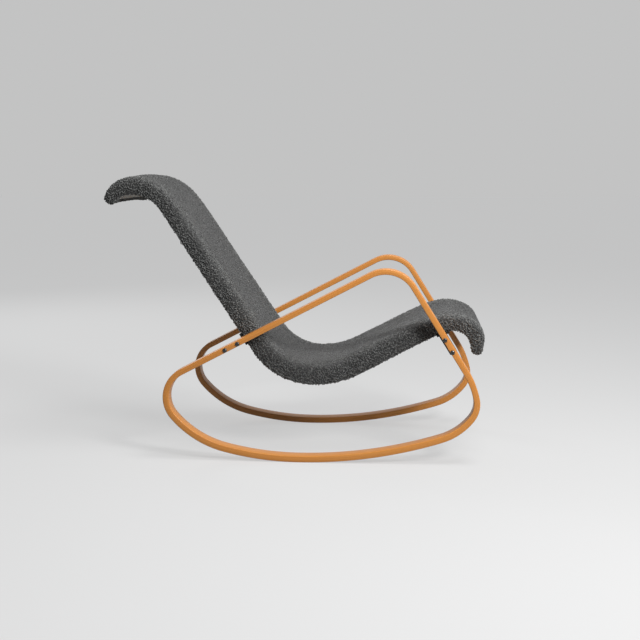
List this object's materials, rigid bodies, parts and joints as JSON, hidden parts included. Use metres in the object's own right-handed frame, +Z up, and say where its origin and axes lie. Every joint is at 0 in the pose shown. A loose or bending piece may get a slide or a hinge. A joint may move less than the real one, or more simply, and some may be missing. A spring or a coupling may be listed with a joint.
{
  "type": "bentwood rocking chair",
  "caption": "Bentwood lounge rocker: two closed bent-beech side loops carry an S-curved padded seat in dark grey boucle on black steel cross members.",
  "frame": {"origin": "on the floor under the middle of the chair's length and width", "axes": "+X to the front of the chair, where the feet go, +Y to the sitter's left, +Z up"},
  "size_m": [1.186, 0.5888, 0.8816],
  "materials": {
    "bent_beech": "honey-stained laminated beech under satin lacquer",
    "frame_beech": "bare beech",
    "boucle": "dark grey boucle with small curled loops",
    "lining_cloth": "thin pale woven lining",
    "foam": null,
    "webbing": "elastic webbing with woven threads",
    "black_steel": "black powder-coated steel",
    "zinc_steel": "bright zinc plating"
  },
  "bodies": {
    "root": {"side_loop_right": "bent_beech", "side_loop_left": "bent_beech", "seat_rail_right": "frame_beech", "seat_rail_left": "frame_beech", "head_rail": "frame_beech", "rear_rail": "frame_beech", "front_rail": "frame_beech", "lip_rail": "frame_beech", "webbing_01": "webbing", "webbing_02": "webbing", "webbing_03": "webbing", "webbing_04": "webbing", "webbing_05": "webbing", "webbing_06": "webbing", "webbing_07": "webbing", "webbing_08": "webbing", "webbing_09": "webbing", "webbing_10": "webbing", "webbing_11": "webbing", "webbing_12": "webbing", "seat_foam": "foam", "seat_cover": "boucle", "seat_lining": "lining_cloth", "cross_member_front": "black_steel", "cross_member_rear": "black_steel", "bolt_front_right_1": "black_steel", "bolt_front_right_2": "black_steel", "bolt_front_left_1": "black_steel", "bolt_front_left_2": "black_steel", "bolt_rear_right_1": "black_steel", "bolt_rear_right_2": "black_steel", "bolt_rear_left_1": "black_steel", "bolt_rear_left_2": "black_steel", "washer_front_right_1": "zinc_steel", "washer_front_right_2": "zinc_steel", "washer_front_left_1": "zinc_steel", "washer_front_left_2": "zinc_steel", "washer_rear_right_1": "zinc_steel", "washer_rear_right_2": "zinc_steel", "washer_rear_left_1": "zinc_steel", "washer_rear_left_2": "zinc_steel", "nut_front_right_1": "zinc_steel", "nut_front_right_2": "zinc_steel", "nut_front_left_1": "zinc_steel", "nut_front_left_2": "zinc_steel", "nut_rear_right_1": "zinc_steel", "nut_rear_right_2": "zinc_steel", "nut_rear_left_1": "zinc_steel", "nut_rear_left_2": "zinc_steel", "screw_front_right_1": "zinc_steel", "screw_front_right_2": "zinc_steel", "screw_front_left_1": "zinc_steel", "screw_front_left_2": "zinc_steel", "screw_rear_right_1": "zinc_steel", "screw_rear_right_2": "zinc_steel", "screw_rear_left_1": "zinc_steel", "screw_rear_left_2": "zinc_steel"}
  },
  "joints": []
}
